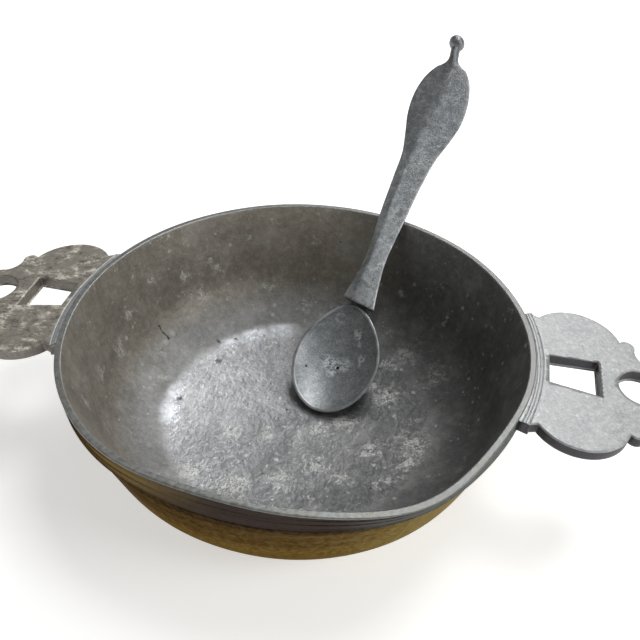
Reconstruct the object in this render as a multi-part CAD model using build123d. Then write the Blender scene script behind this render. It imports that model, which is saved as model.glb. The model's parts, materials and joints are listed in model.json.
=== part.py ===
"""Pewter porringer: a cast bowl with two soldered ears, and the spoon that stands in it.

Millimetres, +Z up. The origin is the middle of the base, on the surface the bowl stands on.
+X runs along the right ear, and +Y points to the side of the rim that the spoon leans on.
"""
from build123d import *
import math
import os

# Bowl
RIM_RADIUS = 80.0  # outside of the rim
RIM_FLAT = 2.2  # width of the flat rim, seen from above
RIM_EDGE = 0.4  # softened edges of the rim
INSIDE_DEPTH = 48.4  # rim to floor
FLOOR_THICKNESS = 2.0
WALL = 2.1  # square to the wall
WALL_LEAN = 17.0  # degrees from upright
INSIDE_CORNER = 30.0  # radius where the floor turns up into the wall

# Moulded band under the rim
BAND_HEIGHT = 5.6
BAND_TAPER = 0.6  # how much the band's foot is drawn in
GROOVE_RADIUS = 0.6
GROOVE_CUT = 0.4  # depth of a groove below the band's face
GROOVE_PLACES = (1.8, 3.4)  # below the rim

# Ears: places along are measured outwards from the rim, places across from the ear's middle line
EAR_THICKNESS = 4.2
EAR_DROOP = 4.0  # degrees below level, outwards
EAR_TURN = 0.9  # degrees that each ear is turned towards -Y
LEFT_EAR_DROP = 1.1  # the left ear is soldered on a little lower than the rim
ROOT_ALONG = -6.0  # the plate is drawn to here, then cut to the seam
ROOT_ACROSS = 28.0
NOTCH_ALONG = 0.4
NOTCH_ACROSS = 26.0
LOBE_ALONG = 13.0
LOBE_ACROSS = 16.4
LOBE_RADIUS = 15.7
BEAD_ALONG = 30.0
BEAD_ACROSS = 19.6
BEAD_RADIUS = 2.8
RING_ALONG = 33.2
RING_RADIUS = 12.5
HANGING_HOLE_RADIUS = 8.0
COVE_ALONG = 38.5
COVE_ACROSS = 17.4
COVE_RADIUS = 6.0
KEYSTONE_NEAR = 3.3
KEYSTONE_FAR = 20.3
KEYSTONE_NEAR_HALF = 6.8
KEYSTONE_FAR_HALF = 8.6
KEYSTONE_CORNER = 0.8

# Solder seam between the rim band and an ear
SEAM_WIDTH = 2.0
SEAM_SINK = 0.7  # how far the seam's sides lie below the ear's face
SEAM_CROWN = 0.6  # rise of its rounded top

# Spoon
SPOON_BOWL_LENGTH = 46.3
SPOON_BOWL_WIDTH = 34.1
SPOON_BOWL_DEPTH = 7.1
SPOON_BOWL_WALL = 1.4
SPOON_WIDEST = 19.9  # from the tip
SPOON_ROOT_PAST = 1.4  # the bowl's outer curve would end this far past the lip, but is cut off there
SPOON_BOWL_BEND = 7.2  # degrees that the bowl is bent up from the stem's line
STEM_FLAT_SHARE = 0.55  # share of the stem's width that is flat underneath
STEM_EDGE = 1.3  # height of the stem's side edges above its underside
STEM_ROOT_DROP = 1.6  # how far the stem's root reaches down the back of the bowl
# Stem stations: place along the stem from the bowl's lip, half width, height of the ridge
STEM_ROOT = (-0.5, 7.2, 6.2)
STEM_AT_RIM = (40.0, 5.4, 5.0)
STEM_STATIONS = (
    (7.0, 5.7, 5.7),
    (16.5, 4.2, 5.2),
    STEM_AT_RIM,
    (57.0, 6.1, 4.8),
    (68.0, 6.7, 4.5),
    (77.0, 8.9, 4.1),
    (86.0, 11.2, 3.7),
    (93.0, 11.8, 3.4),
    (100.0, 11.1, 3.2),
    (106.0, 9.1, 3.0),
    (110.0, 6.5, 2.9),
    (113.0, 3.2, 2.8),
)
NECK_START = 110.0
NECK_RADIUS = 1.7
KNOP_PLACE = 124.0
KNOP_RADIUS = 3.0
KNOP_LEAN = 9.0  # degrees that the neck is bent to the left

# How the spoon stands in the bowl
SPOON_AZIMUTH = 75.7  # degrees from +X, direction of the stem seen from above
SPOON_SLOPE = 37.4  # degrees above level
SPOON_OFFSET = 3.4  # the stem's line passes this far to the right of the bowl's axis
SPOON_CLEARANCE = 0.3  # gap to the floor and to the rim

HEIGHT = INSIDE_DEPTH + FLOOR_THICKNESS
INNER_RIM = RIM_RADIUS - RIM_FLAT
LEAN_PER_MM = math.tan(math.radians(WALL_LEAN))
WALL_ACROSS = WALL / math.cos(math.radians(WALL_LEAN))
SEAM_RADIUS = RIM_RADIUS + SEAM_WIDTH
CUTTER_HEIGHT = 4 * HEIGHT  # about the base, so it reaches well past both faces of an ear


def inner_wall(z):
    """Radius of the inside of the leaning wall at height z."""
    return INNER_RIM - (HEIGHT - z) * LEAN_PER_MM


def round_corner(face, place, radius):
    """The flat face with its corner nearest to place rounded."""
    corner = face.vertices().sort_by_distance(place)[0]
    return fillet(corner, radius)


def make_bowl():
    """Turned profile of floor, round corner, leaning wall and moulded band, spun about the axis."""
    band_foot = HEIGHT - BAND_HEIGHT
    outer_corner = (inner_wall(0) + WALL_ACROSS, 0)
    inner_corner = (inner_wall(FLOOR_THICKNESS), FLOOR_THICKNESS)
    outer_rim = (RIM_RADIUS, HEIGHT)
    inner_rim = (INNER_RIM, HEIGHT)
    section = make_face(
        Polyline(
            (0, 0),
            outer_corner,
            (inner_wall(band_foot) + WALL_ACROSS, band_foot),
            (RIM_RADIUS - BAND_TAPER, band_foot),
            outer_rim,
            inner_rim,
            inner_corner,
            (0, FLOOR_THICKNESS),
            close=True,
        )
    )
    section = round_corner(section, outer_corner, INSIDE_CORNER + WALL)
    section = round_corner(section, inner_corner, INSIDE_CORNER)
    section = round_corner(section, outer_rim, RIM_EDGE)
    section = round_corner(section, inner_rim, RIM_EDGE)
    bowl = revolve(Plane.XZ * section, Axis.Z)
    for place in GROOVE_PLACES:
        face_radius = RIM_RADIUS - BAND_TAPER * place / BAND_HEIGHT
        groove = Torus(face_radius + GROOVE_RADIUS - GROOVE_CUT, GROOVE_RADIUS)
        bowl -= Pos(0, 0, HEIGHT - place) * groove
    return bowl


def ear_root():
    """Outline of the ear's root, which runs into the seam."""
    return Polygon(
        (ROOT_ALONG, -ROOT_ACROSS),
        (NOTCH_ALONG, -NOTCH_ACROSS),
        (NOTCH_ALONG, NOTCH_ACROSS),
        (ROOT_ALONG, ROOT_ACROSS),
        align=None,
    )


def keystone():
    """Outline of the keystone-shaped opening, wider outwards."""
    opening = Polygon(
        (KEYSTONE_NEAR, -KEYSTONE_NEAR_HALF),
        (KEYSTONE_FAR, -KEYSTONE_FAR_HALF),
        (KEYSTONE_FAR, KEYSTONE_FAR_HALF),
        (KEYSTONE_NEAR, KEYSTONE_NEAR_HALF),
        align=None,
    )
    return fillet(opening.vertices(), KEYSTONE_CORNER)


def ear_plan():
    """Outline of an ear: root, two lobes, two beads and a hanging ring, with both openings cut."""
    web = Polygon(
        (NOTCH_ALONG, -BEAD_ACROSS),
        (BEAD_ALONG, -BEAD_ACROSS),
        (COVE_ALONG, -COVE_ACROSS),
        (RING_ALONG, 0),
        (COVE_ALONG, COVE_ACROSS),
        (BEAD_ALONG, BEAD_ACROSS),
        (NOTCH_ALONG, BEAD_ACROSS),
        align=None,
    )
    plan = web
    for side in (-1, 1):
        plan -= Pos(COVE_ALONG, side * COVE_ACROSS) * Circle(COVE_RADIUS)
    plan += ear_root()
    for side in (-1, 1):
        plan += Pos(LOBE_ALONG, side * LOBE_ACROSS) * Circle(LOBE_RADIUS)
        plan += Pos(BEAD_ALONG, side * BEAD_ACROSS) * Circle(BEAD_RADIUS)
    plan += Pos(RING_ALONG, 0) * Circle(RING_RADIUS)
    plan -= Pos(RING_ALONG, 0) * Circle(HANGING_HOLE_RADIUS)
    return plan - keystone()


def ear_place(turn, drop):
    """Frame at the rim's outside, level with an ear's face: X outwards, Z up."""
    return Rot(0, 0, turn) * Pos(RIM_RADIUS, 0, HEIGHT - drop)


def make_ear(turn, drop):
    """One flat ear, drooping from the rim, with its root cut to the seam's curve."""
    plate = Rot(0, EAR_DROOP, 0) * extrude(ear_plan(), -EAR_THICKNESS)
    return ear_place(turn, drop) * plate - Cylinder(SEAM_RADIUS, CUTTER_HEIGHT)


def make_seam(bowl, turn, drop):
    """Bead of solder that fills the room between the band and an ear's root."""
    side_level = HEIGHT - drop - SEAM_SINK
    foot_level = HEIGHT - drop - EAR_THICKNESS
    outer_top = (SEAM_RADIUS, side_level)
    inner_top = (RIM_RADIUS, side_level)
    crown = (RIM_RADIUS + SEAM_WIDTH / 2, side_level + SEAM_CROWN)
    outline = ThreePointArc(outer_top, crown, inner_top) + Polyline(
        inner_top,
        (INNER_RIM, side_level),
        (INNER_RIM, foot_level),
        (SEAM_RADIUS, foot_level),
        outer_top,
    )
    ring = revolve(Plane.XZ * make_face(outline), Axis.Z)
    root = ear_place(turn, drop) * extrude(ear_root(), HEIGHT, both=True)
    return (ring & root) - bowl


def half_fig(width, depth, tip, root):
    """Lower half of a fig about its widest place: a quarter ellipsoid, tip towards -X, and a pointed spindle."""
    quarter = Rot(0, 0, 90) * Sphere(1, -90, 0, 180, align=None)
    side = TangentArc((0, width / 2), (root, 0), tangent=(1, 0))
    outline = make_face(side + Polyline((root, 0), (0, 0), (0, width / 2)))
    spindle = revolve(outline, Axis((0, 0, 0), (-1, 0, 0)), 180)
    return scale(quarter, by=(tip, width / 2, depth)) + scale(spindle, by=(1, 1, 2 * depth / width))


def make_spoon_bowl():
    """Fig-shaped bowl with its lip in the XY plane, cut square at X = 0 where the stem starts."""
    root = SPOON_BOWL_LENGTH - SPOON_WIDEST
    outer = half_fig(SPOON_BOWL_WIDTH, SPOON_BOWL_DEPTH, SPOON_WIDEST, root + SPOON_ROOT_PAST)
    inner = half_fig(
        SPOON_BOWL_WIDTH - 2 * SPOON_BOWL_WALL,
        SPOON_BOWL_DEPTH - SPOON_BOWL_WALL,
        SPOON_WIDEST - SPOON_BOWL_WALL,
        root - SPOON_BOWL_WALL,
    )
    shell = Pos(-root, 0, 0) * (outer - inner)
    return split(shell, Plane.YZ, keep=Keep.BOTTOM)


def stem_section(place, half_width, ridge, underside):
    """Five-sided cross section: flat underside, two side edges and a ridge on top."""
    flat = half_width * STEM_FLAT_SHARE
    outline = Polygon(
        (-flat, underside),
        (flat, underside),
        (half_width, STEM_EDGE),
        (0, ridge),
        (-half_width, STEM_EDGE),
        align=None,
    )
    return Plane(origin=(place, 0, 0), x_dir=(0, 1, 0), z_dir=(1, 0, 0)) * outline


def make_spoon():
    """Spoon with its stem along +X and the middle of the bowl's lip at the origin."""
    sections = [stem_section(*STEM_ROOT, -STEM_ROOT_DROP)]
    sections += [stem_section(*station, 0) for station in STEM_STATIONS]
    stem = loft(sections)
    neck_length = KNOP_PLACE - NECK_START
    neck = Rot(0, 90, 0) * Cylinder(NECK_RADIUS, neck_length, align=(Align.CENTER, Align.CENTER, Align.MIN))
    knop = neck + Pos(neck_length, 0, 0) * Sphere(KNOP_RADIUS)
    knop = Pos(NECK_START, 0, NECK_RADIUS) * Rot(0, 0, KNOP_LEAN) * knop
    return stem + knop + Rot(0, SPOON_BOWL_BEND, 0) * make_spoon_bowl()


def stand_spoon(spoon):
    """The spoon with its bowl on the floor and its stem against the inner edge of the rim."""
    leaning = Rot(0, -SPOON_SLOPE, 0) * spoon
    lip_level = FLOOR_THICKNESS + SPOON_CLEARANCE - leaning.bounding_box().min.Z
    rest_across = SPOON_OFFSET + STEM_FLAT_SHARE * STEM_AT_RIM[1]
    rim_reach = math.sqrt(INNER_RIM**2 - rest_across**2)
    slope = math.radians(SPOON_SLOPE)
    rise = (HEIGHT - lip_level) * math.cos(slope) + SPOON_CLEARANCE
    lip_reach = rim_reach - rise / math.sin(slope)
    return Rot(0, 0, SPOON_AZIMUTH) * Pos(lip_reach, -SPOON_OFFSET, lip_level) * leaning


def main():
    """Build every piece and write one file for each."""
    bowl = make_bowl()
    pieces = {"bowl": bowl, "spoon": stand_spoon(make_spoon())}
    for side, turn, drop in (("right", -EAR_TURN, 0), ("left", 180 + EAR_TURN, LEFT_EAR_DROP)):
        pieces[f"{side}_ear"] = make_ear(turn, drop)
        pieces[f"{side}_ear_solder"] = make_seam(bowl, turn, drop)
    os.makedirs("parts", exist_ok=True)
    for name, piece in pieces.items():
        export_step(piece, f"parts/{name}.step")


main()
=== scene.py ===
"""Aged pewter porringer with two pierced ears and a loose spoon: surfaces, finishes and a studio stage.

Metres, +Z up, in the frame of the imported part: the origin is the middle of the base, and +X runs along the
right ear.
"""

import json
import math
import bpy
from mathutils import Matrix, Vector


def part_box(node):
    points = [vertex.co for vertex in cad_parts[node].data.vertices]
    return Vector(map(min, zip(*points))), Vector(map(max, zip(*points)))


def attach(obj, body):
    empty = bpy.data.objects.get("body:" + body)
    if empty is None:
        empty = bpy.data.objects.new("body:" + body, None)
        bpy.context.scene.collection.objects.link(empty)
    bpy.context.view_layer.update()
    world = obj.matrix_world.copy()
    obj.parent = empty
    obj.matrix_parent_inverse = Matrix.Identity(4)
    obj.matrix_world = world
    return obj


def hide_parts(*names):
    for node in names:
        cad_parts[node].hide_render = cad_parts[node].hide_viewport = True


bl_info = {
    "name": "Pewter Porringer",
    "version": (1, 0, 0),
    "blender": (4, 5, 0),
    "location": "View3D > Sidebar > Porringer",
    "description": "Builds an aged pewter porringer, its spoon and a studio stage around the packed frame",
    "category": "Object",
}

import bmesh
import bpy
import numpy as np
from mathutils import Matrix, Vector, geometry

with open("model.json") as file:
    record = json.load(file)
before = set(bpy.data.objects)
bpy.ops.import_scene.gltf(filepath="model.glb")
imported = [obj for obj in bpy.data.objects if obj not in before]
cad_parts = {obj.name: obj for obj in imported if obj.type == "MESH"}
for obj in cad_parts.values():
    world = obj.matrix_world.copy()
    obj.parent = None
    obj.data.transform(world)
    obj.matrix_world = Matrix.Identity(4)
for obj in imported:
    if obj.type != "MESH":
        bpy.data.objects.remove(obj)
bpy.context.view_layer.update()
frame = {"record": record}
MM = 0.001
BOWL_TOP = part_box("bowl")[1]
MOUNTS = {mount["name"]: mount for mount in frame["record"]["mounts"]}


def linear(colour):
    """Linear RGB of an sRGB hex colour."""
    srgb = np.array([int(colour[place:place + 2], 16) for place in (1, 3, 5)]) / 255
    return tuple(np.where(srgb <= 0.04045, srgb / 12.92, ((srgb + 0.055) / 1.055) ** 2.4))


def length(name, description, default):
    """A length that a user may change."""
    return bpy.props.FloatProperty(
        name=name, description=description, default=default, unit="LENGTH", precision=5
    )


def number(name, description, default):
    """A plain number that a user may change."""
    return bpy.props.FloatProperty(name=name, description=description, default=default)


def position(name, description, millimetres):
    """A place that a user may change, from its coordinates in millimetres."""
    return bpy.props.FloatVectorProperty(
        name=name, description=description, default=[value * MM for value in millimetres], size=3,
        subtype="TRANSLATION", unit="LENGTH", precision=5,
    )


def angle(name, description, degrees):
    """An angle that a user may change, shown in degrees."""
    return bpy.props.FloatProperty(
        name=name, description=description, default=math.radians(degrees), subtype="ANGLE", unit="ROTATION"
    )


def colour(name, description, default):
    """A colour that a user may change, from its sRGB hex value."""
    return bpy.props.FloatVectorProperty(
        name=name, description=description, default=linear(default), subtype="COLOR", min=0, max=1
    )


class PorringerBowl(bpy.types.PropertyGroup):
    """Sizes of the bowl, and the knock that has bent its near rim."""

    rim_radius: length("Rim radius", "Outside of the rim", BOWL_TOP.x)
    height: length("Height", "Base to rim", BOWL_TOP.z)
    rim_flat: length("Rim flat", "Width of the flat rim", 2.2 * MM)
    rim_edge: length("Rim edge", "Radius of the rim's worn edges", 0.45 * MM)
    floor: length("Floor", "Thickness of the floor", 2 * MM)
    wall: length("Wall", "Thickness of the wall, square to it", 2.1 * MM)
    lean: angle("Lean", "Lean of the wall from upright", 17)
    corner: length("Corner", "Inside radius where the floor turns up", 24 * MM)
    outer_corner: length("Outer corner", "Outside radius where the base turns up", 32.1 * MM)
    dish: length("Dish", "Radius to which the inside floor is dished", 250 * MM)
    spoon_rest: length("Spoon rest", "Distance of the spoon's rest from the middle of the floor", 12 * MM)
    band: length("Band", "Height of the moulded band under the rim", 5.6 * MM)
    band_taper: length("Band taper", "How much the band's foot is drawn in", 0.6 * MM)
    groove_cut: length("Groove cut", "Depth of the band's grooves", 0.2 * MM)
    cove: length("Cove", "Height over which the band's foot runs into the wall", 3.2 * MM)
    dent: length("Dent", "How far the near rim is pushed in", 5.2 * MM)
    bulge: length("Bulge", "How far the rim stands out beside the dent", 2.4 * MM)
    pinch: length("Pinch", "How far the rim is pushed in beside the right ear", 1.0 * MM)
    unevenness: length("Unevenness", "Height of the slow waves in the hand-finished wall", 0.12 * MM)


class PorringerEar(bpy.types.PropertyGroup):
    """Sizes of an ear; places along run outwards from the rim, places across run from its middle line."""

    thickness: length("Thickness", "Thickness of the plate", 4.2 * MM)
    edge: length("Edge", "Radius of the worn edges", 0.55 * MM)
    root_across: length("Root", "Half width where the ear meets the seam", 26.9 * MM)
    notch_along: length("Notch", "Place of the notch between root and lobe", 0.4 * MM)
    lobe_along: length("Lobe along", "Place of a lobe's centre", 13 * MM)
    lobe_across: length("Lobe across", "Place of a lobe's centre", 16.4 * MM)
    lobe_radius: length("Lobe radius", "Radius of a lobe", 15.7 * MM)
    bead_along: length("Bead along", "Place of a bead's centre", 30 * MM)
    bead_across: length("Bead across", "Place of a bead's centre", 19.6 * MM)
    bead_radius: length("Bead radius", "Radius of a bead", 2.8 * MM)
    cove_along: length("Cove along", "Place of a cove's centre", 38.5 * MM)
    cove_across: length("Cove across", "Place of a cove's centre", 17.4 * MM)
    ring_along: length("Ring along", "Place of the hanging ring's centre", 33.2 * MM)
    ring_radius: length("Ring radius", "Outside of the hanging ring", 12.5 * MM)
    keystone_near: length("Keystone near", "Nearer end of the keystone opening", 3.3 * MM)
    keystone_far: length("Keystone far", "Farther end of the keystone opening", 20.3 * MM)
    keystone_near_half: length("Keystone near half", "Half width at the nearer end", 6.8 * MM)
    keystone_far_half: length("Keystone far half", "Half width at the farther end", 8.6 * MM)
    keystone_corner: length("Keystone corner", "Radius of the opening's corners", 0.8 * MM)
    seam: length("Seam", "Width of the solder seam at the rim", 2 * MM)
    unevenness: length("Unevenness", "Height of the slow waves in the cast face", 0.1 * MM)


class PorringerSpoon(bpy.types.PropertyGroup):
    """Sizes of the spoon and the way it leans."""

    lip: position("Lip", "Where the stem meets the bowl's lip", (14.87, 44.57, 27.32))
    azimuth: angle("Azimuth", "Direction of the stem seen from above", 75.7)
    slope: angle("Slope", "Slope of the stem above level", 37.4)
    bowl_bend: angle("Bowl bend", "How far the bowl is bent up from the stem's line", 7.2)
    bowl_length: length("Bowl length", "Lip to tip", 46.1 * MM)
    bowl_width: length("Bowl width", "Width of the bowl", 34.4 * MM)
    bowl_depth: length("Bowl depth", "Depth of the bowl outside", 7.1 * MM)
    bowl_wall: length("Bowl wall", "Thickness of the bowl at its lip", 1.25 * MM)
    widest: length("Widest", "Place of the widest part from the tip", 21.5 * MM)
    drawn_in: number("Drawn in", "How much narrower than an egg the bowl is towards the stem", 0.25)
    bowl_turn: angle("Bowl turn", "How far the bowl is turned from the stem's line", 5.2)
    bowl_aside: length("Bowl aside", "How far the bowl's root lies to the left of the stem's line", 2.2 * MM)
    bowl_back: length("Bowl back", "How far the bowl's root lies before the stem's end", 0.5 * MM)
    step: length("Step", "Place of the square step where the stem starts, from the lip", 0.1 * MM)
    step_skew: number("Step skew", "How far the step runs back to the left, for its width", 0.15)
    neck_start: length("Neck start", "Where the leaf turns into the neck", 110 * MM)
    knop_place: length("Knop place", "Centre of the ball knop along the stem", 122.4 * MM)
    knop_radius: length("Knop radius", "Radius of the ball knop", 3.4 * MM)
    neck_radius: length("Neck radius", "Radius of the neck", 2 * MM)
    neck_level: length("Neck level", "Height of the neck's middle above the stem's underside", 1.7 * MM)
    ridge_aside: number("Ridge aside", "How far left the ridge lies, as a share of the half width", 0.36)
    fuller: length("Fuller", "How much wider the leaf is on its right, towards the stem", 2.4 * MM)
    knop_lean: angle("Knop lean", "How far the neck is bent to the left", 9)


class PorringerFinish(bpy.types.PropertyGroup):
    """Colours of the aged pewter, written as they look under plain white light; some of them also carry
    painted shade, painted highlights and a painted reflection, as noted at each.
    """

    floor: colour("Floor", "Oxide on the inside floor", "#9e9fa1")
    wall: colour("Wall", "Brown-grey oxide on the inside wall", "#918b80")
    foot: colour("Foot", "Grey oxide at the foot of the inside wall", "#868685")
    # slate_and_shade: bluish oxide on the right of the inside wall, also used as painted shade on the right
    # of the floor and as the spoon stem's painted shadow on the back wall
    slate_and_shade: colour("Slate", "Bluish oxide on the right of the inside wall", "#686968")
    # painted highlight as well as burnished metal: pale colour put where the lamps glint at the back of the
    # floor's corner
    burnish_and_highlight: colour("Burnish", "Metal rubbed bright at the back of the floor's corner", "#d4d8dd")
    corrosion: colour("Corrosion", "Pale corrosion specks", "#d3d4cf")
    pit: colour("Pit", "Dirt in pits and cracks", "#26231f")
    rim: colour("Rim", "Worn metal on the rim", "#919493")
    band: colour("Band", "Dark purplish brown patina on the band", "#3f3733")
    # painted reflection as well as patina: the golden brown, olive and pale gold below the band stand in
    # partly for a warm table seen in the metal
    belly: colour("Belly", "Golden brown patina under the band", "#8d7b52")
    olive: colour("Olive", "Olive stains in that patina", "#594a39")
    gold: colour("Gold", "Pale golden patina low on the right of the outside", "#a99a74")
    ear: colour("Ear", "Worn metal on the right ear", "#a2a4a4")
    # painted shade and light on the ears' sides: ear_side is darkened as shade on the right ear, lit_side is
    # kept lighter as light on the left ear
    ear_side: colour("Ear side", "Dark purplish oxide on the ears' sides", "#464448")
    lit_side: colour("Stained side", "Brownish oxide on the left ear's sides", "#86817a")
    stained_ear: colour("Stained ear", "Brownish metal on the left ear", "#a09a8f")
    tan: colour("Tan", "Pale scratches on the left ear", "#f0eadc")
    solder: colour("Solder", "Tin solder of the seams", "#a9abab")
    spoon: colour("Spoon", "Oxide on the spoon", "#868a8c")
    spoon_worn: colour("Spoon worn", "Worn metal on the spoon's edges", "#bcc0c2")
    crust: colour("Crust", "Crust round the pit in the spoon", "#d6dde1")


class PorringerStage(bpy.types.PropertyGroup):
    """Camera, lamps and floor."""

    camera: position("Camera", "Where the camera stands", (44.54, -184.35, 210.7))
    camera_turn: angle("Camera turn", "Heading to the left of +Y", 11.32)
    camera_tilt: angle("Camera tilt", "Tilt up from straight down", 50.217)
    camera_roll: angle("Camera roll", "Roll about the line of sight", 1.55)
    lens: number("Lens", "Focal length in millimetres on a 36 mm wide sensor", 40.947)
    back_power: number("Back", "Power of the lamp behind in watts", 4.5)
    top_power: number("Top", "Power of the lamp overhead in watts", 4.0)
    side_power: number("Side", "Power of the lamp at the right in watts", 4.5)
    floor: colour("Floor", "Pale paper floor", "#f4f4f2")


def make_mesh(name, points, *blocks):
    """Smooth mesh from an array of points and blocks of faces, each block with one number of corners."""
    mesh = bpy.data.meshes.new(name)
    corners = np.concatenate([block.ravel() for block in blocks])
    counts = np.concatenate([np.full(len(block), block.shape[1]) for block in blocks])
    mesh.vertices.add(len(points))
    mesh.vertices.foreach_set("co", points.astype(np.float32).ravel())
    mesh.loops.add(len(corners))
    mesh.loops.foreach_set("vertex_index", corners.astype(np.int32))
    mesh.polygons.add(len(counts))
    mesh.polygons.foreach_set("loop_start", (np.cumsum(counts) - counts).astype(np.int32))
    mesh.polygons.foreach_set("use_smooth", np.ones(len(counts), bool))
    mesh.update(calc_edges=True)
    return mesh


def grid_quads(rows, columns, first=0):
    """Quads of a grid of points stored row by row, whose last column joins its first."""
    row, column = np.meshgrid(np.arange(rows - 1), np.arange(columns), indexing="ij")
    beside = (column + 1) % columns
    start = first + row * columns
    corners = (start + column, start + beside, start + columns + beside, start + columns + column)
    return np.stack(corners, -1).reshape(-1, 4)


def fan(ring, pole):
    """Triangles that close a ring of points with one pole point."""
    return np.stack([np.full(len(ring), pole), np.roll(ring, -1), ring], -1)


def closed_surface(name, rings, poles):
    """Mesh of rings of points, closed by a pole at each end: a grid of quads and two fans of triangles."""
    rows, columns = rings.shape[:2]
    points = np.concatenate([rings.reshape(-1, 3), np.array(poles)])
    first = np.arange(columns)
    last = first + (rows - 1) * columns
    start, end = len(points) - 2, len(points) - 1
    return make_mesh(name, points, grid_quads(rows, columns), fan(first, start), fan(last, end)[:, ::-1])


def face_outwards(mesh):
    """Welds coincident points and turns every face to point out of the closed surface."""
    work = bmesh.new()
    work.from_mesh(mesh)
    bmesh.ops.remove_doubles(work, verts=work.verts, dist=0.001 * MM)
    bmesh.ops.recalc_face_normals(work, faces=work.faces)
    work.to_mesh(mesh)
    work.free()


def add_piece(mesh, body, slot, materials, *nodes):
    """Puts a mesh into the scene as a piece that rides on a body and stands for CAD nodes."""
    piece = bpy.data.objects.new(mesh.name, mesh)
    bpy.context.scene.collection.objects.link(piece)
    for material in materials:
        mesh.materials.append(material)
    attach(piece, body)
    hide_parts(*nodes)


def run(start, end, count):
    """Straight run of points from start, up to but without end."""
    return np.linspace(start, end, count, endpoint=False)


def arc(centre, radius, first, last, count):
    """Points on an arc between two angles in degrees, without its last point."""
    turn = np.radians(np.linspace(first, last, count, endpoint=False))
    return np.array(centre) + radius * np.stack([np.cos(turn), np.sin(turn)], -1)


def bump_curve(x, centre, width):
    """Smooth bump of height 1: the exponential of minus the square of (x - centre) / width."""
    return np.exp(-(((x - centre) / width) ** 2))


def smooth_curve(x, places, values):
    """Cubic through stations, which keeps their values and the slopes that np.gradient finds there."""
    places, values = np.array(places), np.array(values)
    slopes = np.gradient(values, places)
    station = np.clip(np.searchsorted(places, x, side="right") - 1, 0, len(places) - 2)
    span = places[station + 1] - places[station]
    t = (x - places[station]) / span
    near = (1 + 2 * t) * (1 - t) ** 2 * values[station] + t * (1 - t) ** 2 * span * slopes[station]
    far = t**2 * (3 - 2 * t) * values[station + 1] + t**2 * (t - 1) * span * slopes[station + 1]
    return near + far


def add_node(tree, kind, inputs=(), **settings):
    """Adds a shader node with its settings; each input is a value or another node's output."""
    node = tree.nodes.new("ShaderNode" + kind)
    for name, value in settings.items():
        setattr(node, name, value)
    for socket, value in dict(inputs).items():
        if isinstance(value, bpy.types.NodeSocket):
            tree.links.new(value, node.inputs[socket])
        else:
            node.inputs[socket].default_value = value
    return node


def opaque(value):
    """A colour with full alpha, as a node's colour socket takes it."""
    return (*value[:3], 1)


def object_place(tree):
    """Coordinates on the object itself, in metres."""
    return add_node(tree, "TexCoord").outputs["Object"]


def place_along(tree, axis):
    """One coordinate of the place in the object's own frame."""
    return add_node(tree, "SeparateXYZ", {"Vector": object_place(tree)}).outputs[axis]


def grain(tree, size, detail=3.0, roughness=0.55, stretch=(1, 1, 1)):
    """Noise on Object coordinates whose blotches are about one size across, in metres."""
    place = object_place(tree)
    if stretch != (1, 1, 1):
        place = add_node(tree, "Mapping", {"Vector": place, "Scale": stretch}).outputs["Vector"]
    noise = add_node(
        tree, "TexNoise", {"Vector": place, "Scale": 1 / size, "Detail": detail, "Roughness": roughness}
    )
    return noise.outputs["Fac"]


def between(tree, value, low, high, to_low=0.0, to_high=1.0):
    """Smooth step of a value from low to high."""
    step = add_node(
        tree, "MapRange",
        {"Value": value, "From Min": low, "From Max": high, "To Min": to_low, "To Max": to_high},
        interpolation_type="SMOOTHSTEP",
    )
    return step.outputs["Result"]


def combine(tree, operation, first, second):
    """Result of arithmetic on two values."""
    return add_node(tree, "Math", {0: first, 1: second}, operation=operation).outputs["Value"]


def product(tree, first, second):
    """One value times another."""
    return combine(tree, "MULTIPLY", first, second)


def vector(tree, operation, inputs):
    """Vector that arithmetic on vectors gives."""
    return add_node(tree, "VectorMath", inputs, operation=operation).outputs["Vector"]


def measure(tree, operation, *vectors):
    """Number that arithmetic on vectors gives."""
    return add_node(tree, "VectorMath", dict(enumerate(vectors)), operation=operation).outputs["Value"]


def uneven_gloss(tree, mask, smooth, rough):
    """Roughness that runs from smooth to rough with a noise mask."""
    return between(tree, mask, 0.3, 0.7, smooth, rough)


def blend(tree, amount, first, second, blend_type="MIX"):
    """Mix of two colours."""
    mix = add_node(
        tree, "Mix", {0: amount, 6: first, 7: second},
        data_type="RGBA", blend_type=blend_type, clamp_factor=True,
    )
    return mix.outputs[2]


def new_material(name):
    """Empty node material with a metal shader; returns the material, its tree and the shader."""
    material = bpy.data.materials.new(name)
    material.use_nodes = True
    tree = material.node_tree
    tree.nodes.clear()
    shader = add_node(tree, "BsdfPrincipled")
    add_node(tree, "OutputMaterial", {"Surface": shader.outputs["BSDF"]})
    return material, tree, shader


def finish_shader(tree, shader, metallic, base, roughness, height, depth):
    """Links colour, roughness and a bump of a given depth in metres to a metal shader."""
    shader.inputs["Metallic"].default_value = metallic
    tree.links.new(base, shader.inputs["Base Color"])
    tree.links.new(roughness, shader.inputs["Roughness"])
    bump = add_node(tree, "Bump", {"Height": height, "Distance": depth, "Strength": 1.0})
    tree.links.new(bump.outputs["Normal"], shader.inputs["Normal"])


def strayed(tree, size, reach):
    """Object coordinates that stray by noise of one size, up to about a reach, which makes a mark ragged."""
    here = object_place(tree)
    noise = add_node(tree, "TexNoise", {"Vector": here, "Scale": 1 / size, "Detail": 3.0}).outputs["Color"]
    offset = vector(tree, "SUBTRACT", {0: noise, 1: (0.5, 0.5, 0.5)})
    scaled = vector(tree, "SCALE", {0: offset, "Scale": 2 * reach})
    return vector(tree, "ADD", {0: here, 1: scaled})


def largest(tree, masks):
    """Largest of several masks at each point."""
    result = masks[0]
    for mask in masks[1:]:
        result = combine(tree, "MAXIMUM", result, mask)
    return result


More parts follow.
